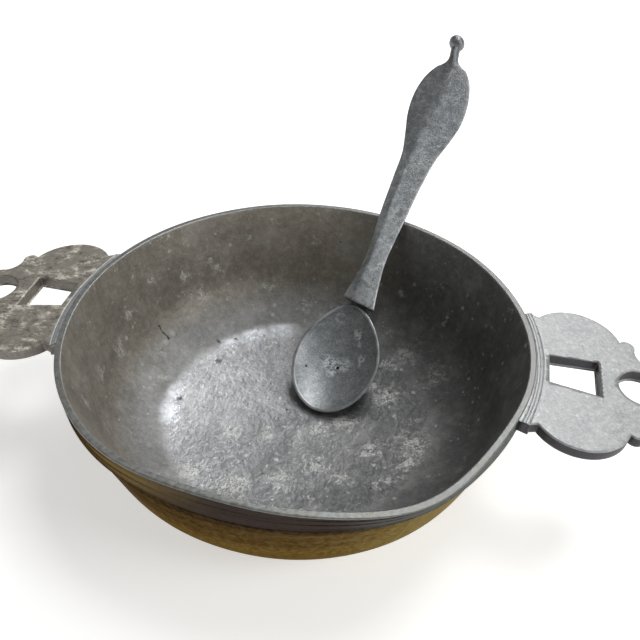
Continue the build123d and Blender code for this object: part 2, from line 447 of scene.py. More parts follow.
def spots(tree, here, places, core=0.3):
    """Soft balls, each with X, Y, Z and radius in millimetres, full within a share of the radius."""
    masks = []
    for x, y, z, radius in places:
        away = measure(tree, "DISTANCE", here, (x * MM, y * MM, z * MM))
        masks.append(between(tree, away, radius * MM, core * radius * MM))
    return largest(tree, masks)


def strokes(tree, here, lines, width):
    """Thin strokes, each between two places in millimetres, by the distance to the stretch between them."""
    masks = []
    for first, last in lines:
        start, stretch = Vector(first) * MM, (Vector(last) - Vector(first)) * MM
        offset = vector(tree, "SUBTRACT", {0: here, 1: start})
        share = measure(tree, "DOT_PRODUCT", offset, stretch / stretch.length_squared)
        held = add_node(tree, "Clamp", {"Value": share}).outputs["Result"]
        nearest = vector(tree, "SCALE", {0: stretch, "Scale": held})
        away = measure(tree, "DISTANCE", offset, nearest)
        masks.append(between(tree, away, width * MM, 0.3 * width * MM))
    return largest(tree, masks)


def dots(tree, spacing, radius, share):
    """Round dots of one radius in a share of the cells of a scattered lattice, in metres."""
    cells = add_node(tree, "TexVoronoi", {"Vector": object_place(tree), "Scale": 1 / spacing})
    near = between(tree, cells.outputs["Distance"], radius / spacing, 0.4 * radius / spacing)
    chance = add_node(tree, "SeparateColor", {"Color": cells.outputs["Color"]}).outputs["Red"]
    return product(tree, near, combine(tree, "LESS_THAN", chance, share))


def shaded(tree, base, mask, amount):
    """A colour made darker where a mask is low and lighter where it is high, by up to an amount."""
    light = between(tree, mask, 0.25, 0.75, 1 - amount, 1 + amount)
    grey = add_node(tree, "CombineXYZ", {"X": light, "Y": light, "Z": light}).outputs["Vector"]
    return blend(tree, 1.0, base, grey, "MULTIPLY")


# Marks on the inside, in millimetres: X, Y, Z and radius of each patch, pit and lump, and the crack's bends
# BURNISHED_HIGHLIGHTS: patches at the floor's corner, burnished smoother and painted pale as highlights
BURNISHED_HIGHLIGHTS = (
    (-36, 32.5, 9, 8), (-28, 39.5, 6.6, 11), (-18, 45, 6.6, 10), (-48, -1, 10, 9), (-47, -10, 10, 10),
)
CORROSION_PATCHES = (
    (-25, -13, 3, 7), (-11, -9, 2, 7), (-31, -35, 6, 9), (-14, -37, 4, 12), (1, -29, 3, 9),
    (11, -20, 2, 10), (10, -2, 2, 7), (16, 4, 2, 9), (45, -4, 5, 12), (43, -14, 5, 10),
    (30, -9, 3, 7), (21, -24, 3, 8), (37, -23, 5, 6), (36, 40, 8, 8), (49, 30, 9, 7),
    (32, 19, 4, 9), (24, 23, 3, 6), (30, 35, 6, 5), (27, 52, 10, 5), (30, 62, 23, 4),
    (-27, 61, 17, 5), (-11, 60, 11, 6), (-54, 43, 21, 6), (-48, 53, 29, 5), (-51, 51, 33, 4),
    (-58, 43, 31, 4), (-67, 29, 36, 4), (-38, 64, 40, 4), (-9, 73, 36, 4), (-70, 13, 31, 4),
    (-70, 1, 24, 6), (-68, -17, 26, 5), (-60, 15, 12, 4), (-56, 6, 9, 5), (-59, 0, 10, 5),
    (-62, -37, 34, 5),
)
DARK_PITS = ((-35.4, 35, 6.3, 1.4), (-42.1, 31.2, 7, 1.5), (-39, 21.8, 5.3, 2.0), (-46.7, -2.6, 5.7, 1.6))
CRACK = (((-63.2, 22.9, 18.6), (-62.1, 21.9, 16.3)), ((-62.1, 21.9, 16.3), (-59.6, 21.6, 13.4)))
CRACK_LUMPS = ((-58.7, 24.6, 13.6, 2.0), (-59.8, 19.4, 12.9, 2.0))


def inside_pewter(finish):
    """Turned pewter under a dull oxide: brown-grey up the wall, dullest at its foot and paler with a sheen on
    the floor, with pale corrosion, dark pits and a crack. Streaks at the corner are burnished smoother and
    painted pale as highlights. The wall turns to a bluish oxide towards the right, which also paints the
    spoon stem's shadow, and the floor is painted darker towards the right as shade."""
    material, tree, shader = new_material("pewter_inside")
    height = place_along(tree, "Z")
    wall = between(tree, height, 5.9 * MM, 8 * MM)
    cloud = grain(tree, 11 * MM, detail=4)
    mottle = grain(tree, 2.4 * MM, detail=5, roughness=0.6)
    fine = grain(tree, 0.8 * MM, detail=3, roughness=0.6)
    patch = spots(tree, strayed(tree, 4.5 * MM, 6 * MM), CORROSION_PATCHES, core=0.0)
    crumb = combine(tree, "ADD", product(tree, fine, 0.64), product(tree, mottle, 0.36))
    crust = between(tree, combine(tree, "ADD", crumb, product(tree, patch, 0.22)), 0.61, 0.78)
    haze = product(tree, patch, between(tree, mottle, 0.35, 0.65, 0.06, 0.36))
    specks = largest(tree, [dots(tree, 5 * MM, 1.1 * MM, 0.35), dots(tree, 3 * MM, 0.6 * MM, 0.3)])
    specks = product(tree, specks, between(tree, mottle, 0.4, 0.6, 0.1, 0.55))
    dust = between(tree, grain(tree, 16 * MM, detail=5, roughness=0.65), 0.5, 0.75)
    dust = product(tree, dust, 0.2)
    fleck = between(tree, grain(tree, 3.6 * MM, detail=6, roughness=0.75), 0.58, 0.7)
    fleck = product(tree, fleck, between(tree, grain(tree, 13 * MM), 0.44, 0.58, 0.0, 0.55))
    lumps = spots(tree, object_place(tree), CRACK_LUMPS)
    pale = largest(tree, [
        product(tree, crust, 0.58), haze, specks, dust, fleck, product(tree, lumps, 0.35),
    ])
    dirt = largest(tree, [
        product(tree, spots(tree, strayed(tree, 2 * MM, 1.2 * MM), DARK_PITS, core=0.2), 0.75),
        product(tree, strokes(tree, strayed(tree, 2 * MM, 0.9 * MM), CRACK, 0.6), 0.8),
        product(tree, dots(tree, 8 * MM, 0.6 * MM, 0.3), 0.5),
        product(tree, dots(tree, 2.6 * MM, 0.3 * MM, 0.3), 0.35),
    ])
    across = place_along(tree, "X")
    oxide = blend(tree, between(tree, height, 8 * MM, 22 * MM), opaque(finish.foot), opaque(finish.wall))
    # bluish oxide towards the right of the wall, starting far enough left that it also paints the spoon
    # stem's shadow on the back wall
    oxide = blend(tree, between(tree, across, -10 * MM, 46 * MM), oxide, opaque(finish.slate_and_shade))
    # painted shade: the floor darkens towards the right, where the right wall shades it, by a blend to the
    # slate_and_shade colour
    shadowed = between(tree, across, -46 * MM, 52 * MM, 0.0, 0.85)
    base = blend(tree, wall, blend(tree, shadowed, opaque(finish.floor), opaque(finish.slate_and_shade)), oxide)
    base = shaded(tree, base, cloud, 0.16)
    base = shaded(tree, base, mottle, 0.16)
    base = shaded(tree, base, fine, 0.12)
    # painted highlight: burnished streaks in a ring at the corner, made paler as well as smoother where the
    # lamps glint
    corner = between(tree, height, 5.2 * MM, 6.3 * MM)
    corner = combine(tree, "MINIMUM", corner, between(tree, height, 6.8 * MM, 7.9 * MM, 1.0, 0.0))
    burnish_and_highlight = product(tree, corner, spots(tree, object_place(tree), BURNISHED_HIGHLIGHTS, core=0.1))
    burnish_and_highlight = product(tree, burnish_and_highlight, between(tree, mottle, 0.36, 0.56, 0.5, 0.95))
    base = blend(tree, burnish_and_highlight, base, opaque(finish.burnish_and_highlight))
    base = blend(tree, pale, base, opaque(finish.corrosion))
    base = blend(tree, product(tree, dirt, 0.85), base, opaque(finish.pit))
    sheen = between(tree, height, 5.9 * MM, 7.6 * MM, 0.29, 0.64)
    sheen = combine(tree, "SUBTRACT", sheen, product(tree, burnish_and_highlight, 0.12))
    sheen = combine(tree, "SUBTRACT", sheen, between(tree, height, 13 * MM, 24 * MM, 0.0, 0.18))
    roughness = combine(tree, "ADD", sheen, product(tree, largest(tree, [pale, dirt]), 0.3))
    relief = combine(tree, "ADD", mottle, product(tree, fine, 0.35))
    relief = combine(tree, "ADD", relief, product(tree, cloud, 1.3))
    relief = combine(tree, "ADD", relief, product(tree, pale, 0.4))
    relief = combine(tree, "ADD", relief, product(tree, lumps, 1.6))
    relief = combine(tree, "SUBTRACT", relief, product(tree, dirt, 2.0))
    finish_shader(tree, shader, 0.6, base, roughness, relief, 0.15 * MM)
    return material


def rim_pewter(finish):
    """Pewter worn by hands: paler and smoother than the inside, with grey dirt left in its low places."""
    material, tree, shader = new_material("pewter_rim")
    mottle = grain(tree, 1.4 * MM, detail=5)
    wear = between(tree, grain(tree, 9 * MM), 0.35, 0.65)
    base = blend(tree, product(tree, wear, 0.5), opaque(finish.rim), opaque(finish.wall))
    # the rim darkens towards the right, by a blend to the slate_and_shade colour
    dull = between(tree, place_along(tree, "X"), 18 * MM, 65 * MM, 0.0, 0.75)
    base = blend(tree, dull, base, opaque(finish.slate_and_shade))
    base = shaded(tree, base, mottle, 0.2)
    finish_shader(tree, shader, 0.7, base, uneven_gloss(tree, mottle, 0.35, 0.5), mottle, 0.08 * MM)
    return material


def outside_pewter(finish, sizes):
    """Pewter under old patina: dark purplish brown on the band, which is rubbed bare at the right, and golden
    brown with olive stains below it. The golden brown is partly patina and partly a painted reflection of a
    warm table, and it reaches up the band on the left."""
    material, tree, shader = new_material("pewter_outside")
    height = add_node(tree, "SeparateXYZ", {"Vector": strayed(tree, 6 * MM, 0.8 * MM)}).outputs["Z"]
    foot = sizes.height - sizes.band
    belly = between(tree, height, foot + 0.5 * MM, foot - 7 * MM)
    mottle = grain(tree, 1.8 * MM, detail=5)
    fine = grain(tree, 0.8 * MM, detail=4, roughness=0.65)
    streak = between(tree, grain(tree, 4.5 * MM, detail=2, stretch=(0.06, 0.06, 1)), 0.3, 0.7)
    stain = between(tree, height, foot - 22 * MM, foot - 5 * MM, 0.15, 1.0)
    stain = product(tree, stain, between(tree, streak, 0, 1, 0.5, 1.0))
    # painted reflection: golden brown with olive streaks, paler gold to the right, standing in partly for a
    # warm table reflected in the belly
    golden = blend(tree, stain, opaque(finish.belly), opaque(finish.olive))
    across = place_along(tree, "X")
    golden = blend(tree, between(tree, across, 14 * MM, 62 * MM, 0.0, 0.75), golden, opaque(finish.gold))
    # the band turns golden on the left, the same painted reflection
    warm = between(tree, across, 0.0, -44 * MM)
    warm = product(tree, warm, between(tree, streak, 0, 1, 0.15, 0.75))
    band = blend(tree, warm, opaque(finish.band), opaque(finish.belly))
    base = blend(tree, belly, band, golden)
    rubbed = between(tree, across, 24 * MM, 64 * MM, 0.0, 0.7)
    rubbed = product(tree, rubbed, between(tree, belly, 0, 1, 1, 0.1))
    base = blend(tree, rubbed, base, opaque(finish.rim))
    base = shaded(tree, base, mottle, 0.08)
    base = shaded(tree, base, fine, 0.1)
    tree.links.new(base, shader.inputs["Specular Tint"])
    finish_shader(tree, shader, 1.0, base, uneven_gloss(tree, mottle, 0.4, 0.55), mottle, 0.08 * MM)
    return material


def ear_pewter(finish):
    """Cast pewter worn pale by hands, with a fine mottled skin and a few grey stains."""
    material, tree, shader = new_material("pewter_right_ear")
    mottle = grain(tree, 2 * MM, detail=6, roughness=0.7)
    fine = grain(tree, 0.7 * MM, detail=3)
    cloud = between(tree, grain(tree, 6 * MM), 0.5, 0.75)
    flake = between(tree, grain(tree, 1.6 * MM, detail=6, roughness=0.8), 0.52, 0.64, 0.0, 0.45)
    base = blend(tree, product(tree, cloud, 0.4), opaque(finish.ear), opaque(finish.spoon))
    base = blend(tree, flake, base, opaque(finish.corrosion))
    base = shaded(tree, base, mottle, 0.18)
    base = shaded(tree, base, fine, 0.14)
    finish_shader(tree, shader, 0.6, base, uneven_gloss(tree, mottle, 0.42, 0.55), mottle, 0.14 * MM)
    return material


def ear_side_pewter(name, oxide):
    """Sides of an ear: a dark purplish grey oxide, darkened as painted shade on the right ear, and a lighter
    brownish tone kept as painted light on the left ear, whose keystone wall the side lamp lights.
    """
    material, tree, shader = new_material(name)
    mottle = grain(tree, 1.6 * MM, detail=5)
    base = shaded(tree, opaque(oxide), mottle, 0.25)
    finish_shader(tree, shader, 0.6, base, uneven_gloss(tree, mottle, 0.42, 0.55), mottle, 0.08 * MM)
    return material


def stained_ear_pewter(finish):
    """Cast pewter under a brown-grey stain, scratched through to tan and bare metal in ragged streaks."""
    material, tree, shader = new_material("pewter_left_ear")
    mottle = grain(tree, 1.8 * MM, detail=6, roughness=0.7)
    streak = grain(tree, 4.5 * MM, detail=8, roughness=0.8, stretch=(0.8, 1.3, 1))
    fleck = grain(tree, 1.3 * MM, detail=4, roughness=0.7)
    region = between(tree, grain(tree, 12 * MM, detail=3), 0.4, 0.56)
    bare = product(tree, between(tree, streak, 0.51, 0.58), region)
    base = blend(tree, bare, opaque(finish.stained_ear), opaque(finish.tan))
    base = blend(tree, between(tree, fleck, 0.6, 0.7), base, opaque(finish.ear))
    dark = product(tree, between(tree, streak, 0.47, 0.38), 0.7)
    base = blend(tree, dark, base, opaque(finish.band))
    base = shaded(tree, base, mottle, 0.22)
    relief = combine(tree, "ADD", mottle, streak)
    finish_shader(tree, shader, 0.55, base, uneven_gloss(tree, mottle, 0.42, 0.55), relief, 0.1 * MM)
    return material


def tin_solder(finish):
    """Tin solder, dull and bright, with small lumps where it was wiped."""
    material, tree, shader = new_material("tin_solder")
    lumps = grain(tree, 2 * MM, detail=4)
    base = blend(tree, between(tree, lumps, 0.3, 0.5), opaque(finish.spoon), opaque(finish.solder))
    finish_shader(tree, shader, 0.6, base, uneven_gloss(tree, lumps, 0.42, 0.55), lumps, 0.06 * MM)
    return material


# Marks in the hollow of the spoon, in millimetres, as on the inside
SPOON_PIT = ((10.3, 25.2, 9.2, 0.9), (6.9, 26.4, 9.5, 0.5), (-2.2, 23.1, 9.5, 0.5))
SPOON_CRUST = (
    (9, 26, 9.3, 5), (13, 26.4, 10.4, 4), (6, 27, 10, 4),
    (8, 23, 8.6, 3), (19.6, 27.3, 13.7, 2.5), (16.2, 36.2, 18.7, 3),
)
SPOON_SCAR = (8.1, 41.1, 22.1)
SPOON_SCRATCHES = (((16.2, 36.2, 18.7), (17.6, 32.2, 16.2)), ((19.6, 27.3, 13.7), (18.4, 24.8, 12.2)))
# painted shadow: a dark stroke along the step where the stem stands above the bowl's lip
SPOON_STEP_SHADOW = (((8.5, 46.2, 27.7), (14.6, 43.6, 27.2)), ((14.6, 43.6, 27.2), (20.9, 41.5, 26.5)))


def spoon_pewter(finish):
    """Cast pewter of the spoon: mid grey oxide with a grainy skin and pale specks, a crusted pit, scratches
    and a round scar in the hollow. A dark stroke at the step is a painted shadow in the gap there, and the
    foot of the stem above it is painted lighter, broken by a worn mottle, as painted light."""
    material, tree, shader = new_material("pewter_spoon")
    mottle = grain(tree, 1.6 * MM, detail=6, roughness=0.7)
    fine = grain(tree, 0.6 * MM, detail=3)
    cloud = between(tree, grain(tree, 7 * MM), 0.4, 0.65)
    ragged = strayed(tree, 2.5 * MM, 1.6 * MM)
    crust = spots(tree, ragged, SPOON_CRUST, core=0.3)
    crust = product(tree, crust, between(tree, mottle, 0.4, 0.54))
    crust = product(tree, crust, between(tree, fine, 0.35, 0.55, 0.4, 1.0))
    specks = product(tree, dots(tree, 2.4 * MM, 0.5 * MM, 0.35), 0.5)
    height = place_along(tree, "Z")
    wear = between(tree, grain(tree, 2.6 * MM, detail=7, roughness=0.8), 0.47, 0.64, 0.0, 0.75)
    wear = product(tree, wear, between(tree, height, 22 * MM, 40 * MM, 0.4, 1.0))
    wandering = strayed(tree, 1 * MM, 0.4 * MM)
    scar = spots(tree, wandering, ((*SPOON_SCAR, 2.7),), core=0.7)
    scar = combine(tree, "SUBTRACT", scar, spots(tree, wandering, ((*SPOON_SCAR, 1.9),), core=0.5))
    scar = product(tree, scar, between(tree, mottle, 0.42, 0.55, 0.1, 0.9))
    scratch = strokes(tree, wandering, SPOON_SCRATCHES, 1.1)
    scratch = product(tree, scratch, between(tree, mottle, 0.4, 0.55))
    pale = largest(tree, [specks, wear, scar, scratch])
    # painted shadow in the gap under the step, drawn in the pit colour together with the real pits
    crevice_shadow = strokes(tree, strayed(tree, 2 * MM, 0.9 * MM), SPOON_STEP_SHADOW, 2.2)
    pit = largest(tree, [spots(tree, wandering, SPOON_PIT, core=0.5), crevice_shadow])
    base = blend(tree, product(tree, cloud, 0.2), opaque(finish.spoon), opaque(finish.spoon_worn))
    base = shaded(tree, base, mottle, 0.2)
    base = shaded(tree, base, fine, 0.22)
    base = blend(tree, pale, base, opaque(finish.spoon_worn))
    base = blend(tree, crust, base, opaque(finish.crust))
    # painted light: the stem's foot above the step is lightened towards the worn colour, broken by mottle
    foot = between(tree, height, 26 * MM, 29 * MM)
    foot = combine(tree, "MINIMUM", foot, between(tree, height, 31 * MM, 37 * MM, 0.9, 0.0))
    foot = product(tree, foot, between(tree, mottle, 0.38, 0.56, 0.2, 1.0))
    base = blend(tree, foot, base, opaque(finish.spoon_worn))
    base = blend(tree, between(tree, height, 66 * MM, 100 * MM, 0.0, 0.4), base, opaque(finish.ear_side))
    base = blend(tree, pit, base, opaque(finish.pit))
    relief = combine(tree, "ADD", mottle, fine)
    relief = combine(tree, "SUBTRACT", relief, product(tree, pit, 3.0))
    finish_shader(tree, shader, 0.65, base, uneven_gloss(tree, mottle, 0.36, 0.5), relief, 0.1 * MM)
    return material


def spoon_lip_pewter(finish):
    """Lip of the spoon: pale metal broken by patches of the oxide, partly worn and partly a painted highlight
    along the edge.
    """
    material, tree, shader = new_material("pewter_spoon_lip")
    worn = between(tree, grain(tree, 9 * MM, detail=4), 0.35, 0.7)
    base = blend(tree, worn, opaque(finish.spoon), opaque(finish.spoon_worn))
    finish_shader(tree, shader, 0.65, base, between(tree, worn, 0, 1, 0.45, 0.36), worn, 0.05 * MM)
    return material


BAND_GROOVES = (1.8 * MM, 3.4 * MM)  # depths of the band's grooves below the rim
GROOVE_WIDTH = 0.5 * MM
POLE_RADIUS = 0.5 * MM  # ring round each of the bowl's poles
SECTION_SPACING = 0.9 * MM  # between the points of the inside's section
BEND_REACH = 5.4 * MM  # over which the inside's bends are averaged
# Direction and spread of each knock in the near rim, in degrees
DENT_TURN = (-95, 27)
BULGE_TURN = (-52, 14)
PINCH_TURN = (-24, 13)
KNOCK_FADE = 5.1 * MM  # depth over which most of a knock fades


def wall_line(sizes, height):
    """Radius of the leaning wall's inner face, carried on in a straight line to a height."""
    return sizes.rim_radius - sizes.rim_flat - (sizes.height - height) * math.tan(sizes.lean)


def dished_floor(sizes, radius):
    """Height of the inside floor at a radius: a shallow dish, as thick as the floor at the spoon's rest."""
    return sizes.floor + (radius**2 - sizes.spoon_rest**2) / (2 * sizes.dish)


def inside_corner(sizes):
    """Centre of the arc that touches the dished floor and the wall's inner face, and the floor's slope where
    it does, found by going back and forth between the two until they agree."""
    touch = sizes.corner
    for _ in range(30):
        slope = math.atan(touch / sizes.dish)
        middle = dished_floor(sizes, touch) + sizes.corner * math.cos(slope)
        centre = wall_line(sizes, middle) - sizes.corner / math.cos(sizes.lean)
        touch = centre + sizes.corner * math.sin(slope)
    return (centre, middle), math.degrees(slope)


def band_face(sizes, below):
    """Radius of the moulded band at a depth below the rim: a tapered face with two smooth grooves cut in."""
    tapered = sizes.rim_radius - sizes.band_taper * below / sizes.band
    grooves = sum(bump_curve(below, place, GROOVE_WIDTH) for place in BAND_GROOVES)
    return tapered - sizes.groove_cut * grooves


def softened(line, spacing, reach):
    """A line of points taken at one spacing and averaged over a reach to each side, so that bends start
    gradually; its ends stay where they are."""
    place = np.concatenate([[0], np.cumsum(np.linalg.norm(np.diff(line, axis=0), axis=1))])
    even = np.linspace(0, place[-1], round(place[-1] / spacing))
    points = np.stack([np.interp(even, place, line[:, axis]) for axis in (0, 1)], -1)
    count = round(reach / spacing)
    before = 2 * points[0] - points[count:0:-1]
    after = 2 * points[-1] - points[-2:-count - 2:-1]
    padded = np.concatenate([before, points, after])
    weights = np.full(2 * count + 1, 1 / (2 * count + 1))
    return np.stack([np.convolve(padded[:, axis], weights, "valid") for axis in (0, 1)], -1)


def bowl_section(sizes):
    """Half section as radius and height: floor, corner arc, leaning wall and rim inside, then the band,
    wall, corner arc and base outside. Also gives how many of its points are inside and on the rim."""
    lean = math.degrees(sizes.lean)
    edge = sizes.rim_edge
    edge_level = sizes.height - edge
    foot = sizes.height - sizes.band
    across = sizes.wall / math.cos(sizes.lean)
    inner, slope = inside_corner(sizes)
    inner_edge = (wall_line(sizes, edge_level) + edge / math.cos(sizes.lean), edge_level)
    turned_up = arc(inner, sizes.corner, slope - 90, -lean, 40)
    floor_radius = run(POLE_RADIUS, turned_up[0][0], 34)
    rounded_edge = arc(inner_edge, edge, 180 - lean, 90, 5)
    inside = np.concatenate([
        np.stack([floor_radius, dished_floor(sizes, floor_radius)], -1),
        turned_up,
        run(arc(inner, sizes.corner, -lean, 0, 1)[0], rounded_edge[0], 30),
    ])
    inside = softened(inside, SECTION_SPACING, BEND_REACH)
    rim = [
        rounded_edge,
        run((inner_edge[0], sizes.height), (sizes.rim_radius - edge, sizes.height), 4),
        arc((sizes.rim_radius - edge, edge_level), edge, 90, 0, 5),
    ]
    below = np.linspace(edge, sizes.band, 26)
    wall_top = wall_line(sizes, foot) + across
    outer_radius = sizes.outer_corner
    outer_middle = wall_line(sizes, outer_radius) + (sizes.wall - outer_radius) / math.cos(sizes.lean)
    outer = (outer_middle, outer_radius)
    turned_under = arc(outer, outer_radius, -lean, -90, 24)
    under = np.linspace(0.15 * MM, sizes.cove, 10, endpoint=False)
    cove = (sizes.rim_radius - sizes.band_taper - wall_top) * (1 - under / sizes.cove) ** 2
    outside = [
        np.stack([band_face(sizes, below), sizes.height - below], -1),
        np.stack([wall_line(sizes, foot - under) + across + cove, foot - under], -1),
        run((wall_line(sizes, foot - sizes.cove) + across, foot - sizes.cove), turned_under[0], 12),
        turned_under,
        run((outer_middle, 0), (POLE_RADIUS, 0), 8),
    ]
    section = np.concatenate([inside, *rim, *outside])
    return section, len(inside), sum(len(stretch) for stretch in rim)


def knocked_rim(sizes, turn, height):
    """How far the wall has moved outwards: three bumps round the near rim, which fade down the wall."""
    degrees = np.degrees(turn)
    moved = -sizes.dent * bump_curve(degrees, *DENT_TURN)
    moved = moved + sizes.bulge * bump_curve(degrees, *BULGE_TURN)
    moved = moved - sizes.pinch * bump_curve(degrees, *PINCH_TURN)
    below = sizes.height - height
    share = 0.75 * np.exp(-below / KNOCK_FADE) + 0.25 * np.clip(height / sizes.height, 0, 1) ** 0.5
    return moved * share


class PORRINGER_OT_bowl(bpy.types.Operator):
    """Turned bowl: its section carried round the axis, with a bent near rim and slow waves in the wall"""

    bl_idname = "porringer.bowl"
    bl_label = "Bowl"

    def execute(self, context):
        sizes = context.scene.porringer_bowl
        finish = context.scene.porringer_finish
        columns = 464
        turn = np.linspace(-np.pi, np.pi, columns, endpoint=False)[None, :]
        section, inside_count, rim_count = bowl_section(sizes)
        radius, height = section[:, :1], section[:, 1:]
        outward = radius / sizes.rim_radius
        wave = np.sin(3 * turn + 1) * np.sin(8 * turn - 130 * height) * outward**2
        spread = radius + (knocked_rim(sizes, turn, height) + sizes.unevenness * wave) * outward
        rings = np.stack([spread * np.cos(turn), spread * np.sin(turn), height + 0 * turn], -1)
        mesh = closed_surface("bowl_pewter", rings, ((0, 0, dished_floor(sizes, 0)), (0, 0, 0)))
        row = np.arange(len(mesh.polygons)) // columns
        index = np.where(row < inside_count, 0, np.where(row < inside_count + rim_count, 1, 2))
        quads = (len(section) - 1) * columns
        index[quads:quads + columns] = 0
        index[quads + columns:] = 2
        mesh.polygons.foreach_set("material_index", index.astype(np.int32))
        face_outwards(mesh)
        finishes = (inside_pewter(finish), rim_pewter(finish), outside_pewter(finish, sizes))
        add_piece(mesh, "porringer", "bowl_pewter", finishes, "bowl")
        return {"FINISHED"}


def meeting_point(first, first_radius, second, second_radius):
    """Point where two circles meet, on the left of the line from the first centre to the second; where they
    just miss, the point between them."""
    first, second = np.array(first), np.array(second)
    apart = np.linalg.norm(second - first)
    along = (first_radius**2 - second_radius**2 + apart**2) / (2 * apart)
    aside = math.sqrt(max(first_radius**2 - along**2, 0))
    forward = (second - first) / apart
    return first + along * forward + aside * np.array([-forward[1], forward[0]])


def arc_through(centre, start, end, clockwise, spacing):
    """Points on the arc about a centre from start up to but without end, about one spacing apart."""
    centre = np.array(centre)
    radius = np.linalg.norm(start - centre)
    first = math.degrees(math.atan2(*(start - centre)[::-1]))
    sweep = math.degrees(math.atan2(*(end - centre)[::-1])) - first
    sweep = -((-sweep) % 360) if clockwise else sweep % 360
    count = max(3, round(abs(math.radians(sweep)) * radius / spacing))
    return arc(centre, radius, first, first + sweep, count)


def ear_outline(ear, rim_radius, spacing):
    """Closed outline of an ear, clockwise: root, lobe, bead, cove and ring, their mirror, and the seam."""
    lobe = (ear.lobe_along, ear.lobe_across)
    bead = (ear.bead_along, ear.bead_across)
    cove = (ear.cove_along, ear.cove_across)
    ring = (ear.ring_along, 0)
    seam_radius = rim_radius + ear.seam
    root = np.array([math.sqrt(seam_radius**2 - ear.root_across**2) - rim_radius, ear.root_across])
    notch_across = ear.lobe_across + math.sqrt(ear.lobe_radius**2 - (ear.lobe_along - ear.notch_along) ** 2)
    notch = np.array([ear.notch_along, notch_across])
    toward_cove = np.subtract(cove, bead)
    bead_end = np.array(bead) + ear.bead_radius * toward_cove / np.linalg.norm(toward_cove)
    toward_cove = np.subtract(cove, ring)
    ring_start = np.array(ring) + ear.ring_radius * toward_cove / np.linalg.norm(toward_cove)
    bead_start = meeting_point(lobe, ear.lobe_radius, bead, ear.bead_radius)
    tip = np.array([ear.ring_along + ear.ring_radius, 0])
    half = np.concatenate([
        run(root, notch, 6),
        arc_through(lobe, notch, bead_start, True, spacing),
        arc_through(bead, bead_start, bead_end, True, spacing),
        arc_through(cove, bead_end, ring_start, False, spacing),
        arc_through(ring, ring_start, tip, True, spacing),
        [tip],
    ])
    mirrored = half[::-1][1:] * (1, -1)
    seam = arc_through((-rim_radius, 0), root * (1, -1), root, False, spacing)[1:]
    return np.concatenate([half, mirrored, seam])


def keystone_outline(ear, spacing):
    """Closed outline of the keystone opening, anticlockwise, with rounded corners."""
    corner = ear.keystone_corner
    near, far = ear.keystone_near, ear.keystone_far
    low, high = ear.keystone_near_half - corner, ear.keystone_far_half - corner
    corners = (
        ((near + corner, -low), 180), ((far - corner, -high), 270),
        ((far - corner, high), 0), ((near + corner, low), 90),
    )
    rounds = [arc(centre, corner, first, first + 90, 6) for centre, first in corners]
    stretches = []
    for place, stretch in enumerate(rounds):
        start, end = stretch[-1], rounds[(place + 1) % 4][0]
        count = max(2, round(np.linalg.norm(end - start) / spacing))
        stretches += [stretch, run(start, end, count)[1:]]
    return np.concatenate(stretches)


def outward_normals(outline, clockwise):
    """Mitred normals of a closed outline, pointing out of the plate."""
    ahead = np.roll(outline, -1, 0) - outline
    ahead = ahead / np.linalg.norm(ahead, axis=1, keepdims=True)
    side = np.stack([-ahead[:, 1], ahead[:, 0]], -1) * (1 if clockwise else -1)
    mitre = side + np.roll(side, 1, 0)
    return mitre / np.maximum((mitre * side).sum(1, keepdims=True), 0.4)


def within(points, outlines):
    """Which points lie within an odd number of closed outlines, by the edges that a level ray crosses."""
    inside = np.zeros(len(points), bool)
    x, y = points[:, :1], points[:, 1:]
    for outline in outlines:
        ends = np.roll(outline, -1, 0)
        spans = (outline[:, 1] > y) != (ends[:, 1] > y)
        rise = np.where(ends[:, 1] == outline[:, 1], 1, ends[:, 1] - outline[:, 1])
        cross = outline[:, 0] + (y - outline[:, 1]) * (ends[:, 0] - outline[:, 0]) / rise
        inside ^= (spans & (x < cross)).sum(1) % 2 == 1
    return inside


def plate_face(outlines, spacing):
    """Flat triangulated face within the first outline and outside the others: points and triangles. Its
    inner points are a staggered lattice."""
    boundary = np.concatenate(outlines)
    low, high = boundary.min(0), boundary.max(0)
    rows = np.arange(low[1], high[1], spacing * 0.866)
    lattice = np.stack(np.meshgrid(np.arange(low[0], high[0], spacing), rows), -1)
    lattice[1::2, :, 0] += spacing / 2
    lattice = lattice.reshape(-1, 2)
    clear = np.linalg.norm(lattice[:, None] - boundary[None], axis=2).min(1) > 0.6 * spacing
    points = np.concatenate([boundary, lattice[clear & within(lattice, outlines)]])
    first = np.cumsum([0] + [len(outline) for outline in outlines])
    rounds = [np.arange(len(outline)) + start for outline, start in zip(outlines, first)]
    edges = np.concatenate([np.stack([index, np.roll(index, -1)], -1) for index in rounds])
    made = geometry.delaunay_2d_cdt([Vector(point) for point in points], edges.tolist(), [], 1, 1e-9)
    points = np.array([point[:] for point in made[0]])
    triangles = np.array(made[2])
    return points, triangles[within(points[triangles].mean(1), outlines)]


EAR_EDGE_SPACING = 0.6 * MM  # between the points of an ear's outlines
EAR_FACE_SPACING = 1.1 * MM  # between the points within its faces


def ear_points(flat, level, ear):
    """Points of the plate at places along and across, at a level below its face, which has slow waves."""
    along, across = flat[..., 0], flat[..., 1]
    wave = np.sin(210 * along + 1.3) * np.sin(170 * across + 0.4) + 0.6 * np.sin(380 * along - 290 * across)
    face = ear.unevenness * (0.5 * wave - 0.8)
    top_share = 1 - np.clip(level / ear.thickness, 0, 1)
    return np.stack([along, across, face * top_share - level], -1)


